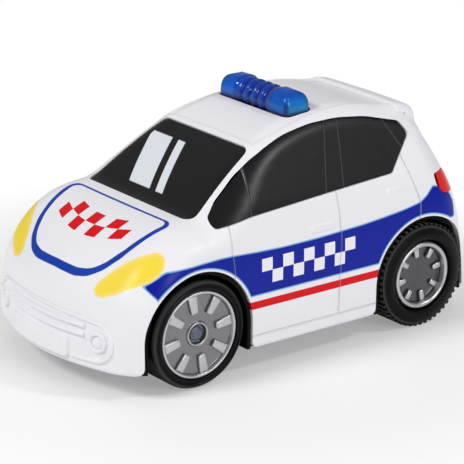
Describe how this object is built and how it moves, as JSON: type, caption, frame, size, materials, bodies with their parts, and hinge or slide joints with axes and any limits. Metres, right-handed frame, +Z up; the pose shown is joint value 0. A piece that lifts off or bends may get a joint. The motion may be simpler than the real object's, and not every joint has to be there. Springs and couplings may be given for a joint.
{
  "type": "toy patrol car",
  "caption": "Hatchback toy patrol car: moulded body on a black chassis, free front wheels, motor-driven rear axle, and a roof light bar that presses down as the start button.",
  "frame": {"origin": "centre of the bounding box in plan, on the ground under the wheels", "axes": "+Z up, -Y towards the nose, +X towards the car's left-hand flank as the picture shows it"},
  "size_m": [0.086, 0.1678, 0.0888],
  "materials": {
    "shell_white": "moulded, slightly glossy, printed stripes",
    "panel_black": "satin black, opaque",
    "lamp_red": "moulded red",
    "pan_black": "moulded, fine grain",
    "beacon_blue": "translucent blue",
    "hub_grey": "silver-grey metallic paint",
    "tyre_black": "matt, moulded",
    "steel": "plated",
    "nylon": "natural nylon",
    "board_green": "solder mask over glass-fibre",
    "cell_grey": "plain jacket",
    "puck_black": "carbon-loaded",
    "led_clear": "clear epoxy",
    "speaker_grey": "pressed frame and paper cone"
  },
  "bodies": {
    "car": {"body_shell": "shell_white", "windscreen_panel": "panel_black", "side_window_left": "panel_black", "side_window_right": "panel_black", "rear_window_panel": "panel_black", "tail_lamp_left": "lamp_red", "tail_lamp_right": "lamp_red", "chassis": "pan_black", "front_axle": "steel", "front_axle_clamp": "pan_black", "clamp_screw_left": "steel", "clamp_screw_right": "steel", "body_screw_1": "steel", "body_screw_2": "steel", "body_screw_3": "steel", "body_screw_4": "steel", "door_screw": "steel", "battery_front": "cell_grey", "battery_middle": "cell_grey", "battery_rear": "cell_grey", "battery_contact_left": "steel", "battery_contact_right": "steel", "battery_door": "pan_black", "gearbox_case": "nylon", "gearbox_cover": "nylon", "gearbox_screw_front": "steel", "gearbox_screw_rear": "steel", "idler_pin": "steel", "motor_can": "steel", "motor_end_cap": "pan_black", "light_carrier": "pan_black", "carrier_screw_front": "steel", "carrier_screw_rear": "steel", "light_board": "board_green", "light_led_left": "led_clear", "light_led_right": "led_clear", "light_bar_spring": "steel", "sound_board": "board_green", "speaker": "speaker_grey", "switch_case": "steel"},
    "front_wheel_left": {"front_hub_left": "hub_grey", "front_tyre_left": "tyre_black"},
    "front_wheel_right": {"front_hub_right": "hub_grey", "front_tyre_right": "tyre_black"},
    "rear_axle_set": {"rear_axle": "steel", "rear_hub_left": "hub_grey", "rear_hub_right": "hub_grey", "rear_tyre_left": "tyre_black", "rear_tyre_right": "tyre_black", "axle_gear": "nylon"},
    "idler": {"idler_gear": "nylon"},
    "motor_rotor": {"motor_pinion": "nylon", "motor_shaft": "steel"},
    "light_button": {"light_bar": "beacon_blue", "contact_puck": "puck_black"},
    "switch_slide": {"switch_knob": "pan_black"}
  },
  "joints": [
    {"name": "front_wheel_left_spin", "type": "hinge", "parent": "car", "child": "front_wheel_left", "pos_m": [0.035, -0.04583, 0.0193], "axis": [1, 0, 0], "continuous": true},
    {"name": "front_wheel_right_spin", "type": "hinge", "parent": "car", "child": "front_wheel_right", "pos_m": [-0.035, -0.04583, 0.0193], "axis": [1, 0, 0], "continuous": true},
    {"name": "rear_axle_spin", "type": "hinge", "parent": "car", "child": "rear_axle_set", "pos_m": [0, 0.05417, 0.0193], "axis": [1, 0, 0], "continuous": true},
    {"name": "idler_spin", "type": "hinge", "parent": "car", "child": "idler", "pos_m": [-0.0079, 0.04559, 0.0265], "axis": [1, 0, 0], "continuous": true},
    {"name": "motor_spin", "type": "hinge", "parent": "car", "child": "motor_rotor", "pos_m": [-0.0056, 0.03436, 0.02452], "axis": [1, 0, 0], "continuous": true},
    {"name": "light_bar_press", "type": "slide", "parent": "car", "child": "light_button", "axis": [0, 0, -1], "range_m": [0, 0.0023], "stiffness_N_per_m": 400, "springref_m": -0.003, "deforming": ["light_bar_spring"]},
    {"name": "switch_slide_travel", "type": "slide", "parent": "car", "child": "switch_slide", "axis": [1, 0, 0], "range_m": [0, 0.004]}
  ],
  "couplings": [
    {"joint": "idler_spin", "follows": "rear_axle_spin", "ratio": -1.8},
    {"joint": "motor_spin", "follows": "rear_axle_spin", "ratio": 5.04}
  ]
}
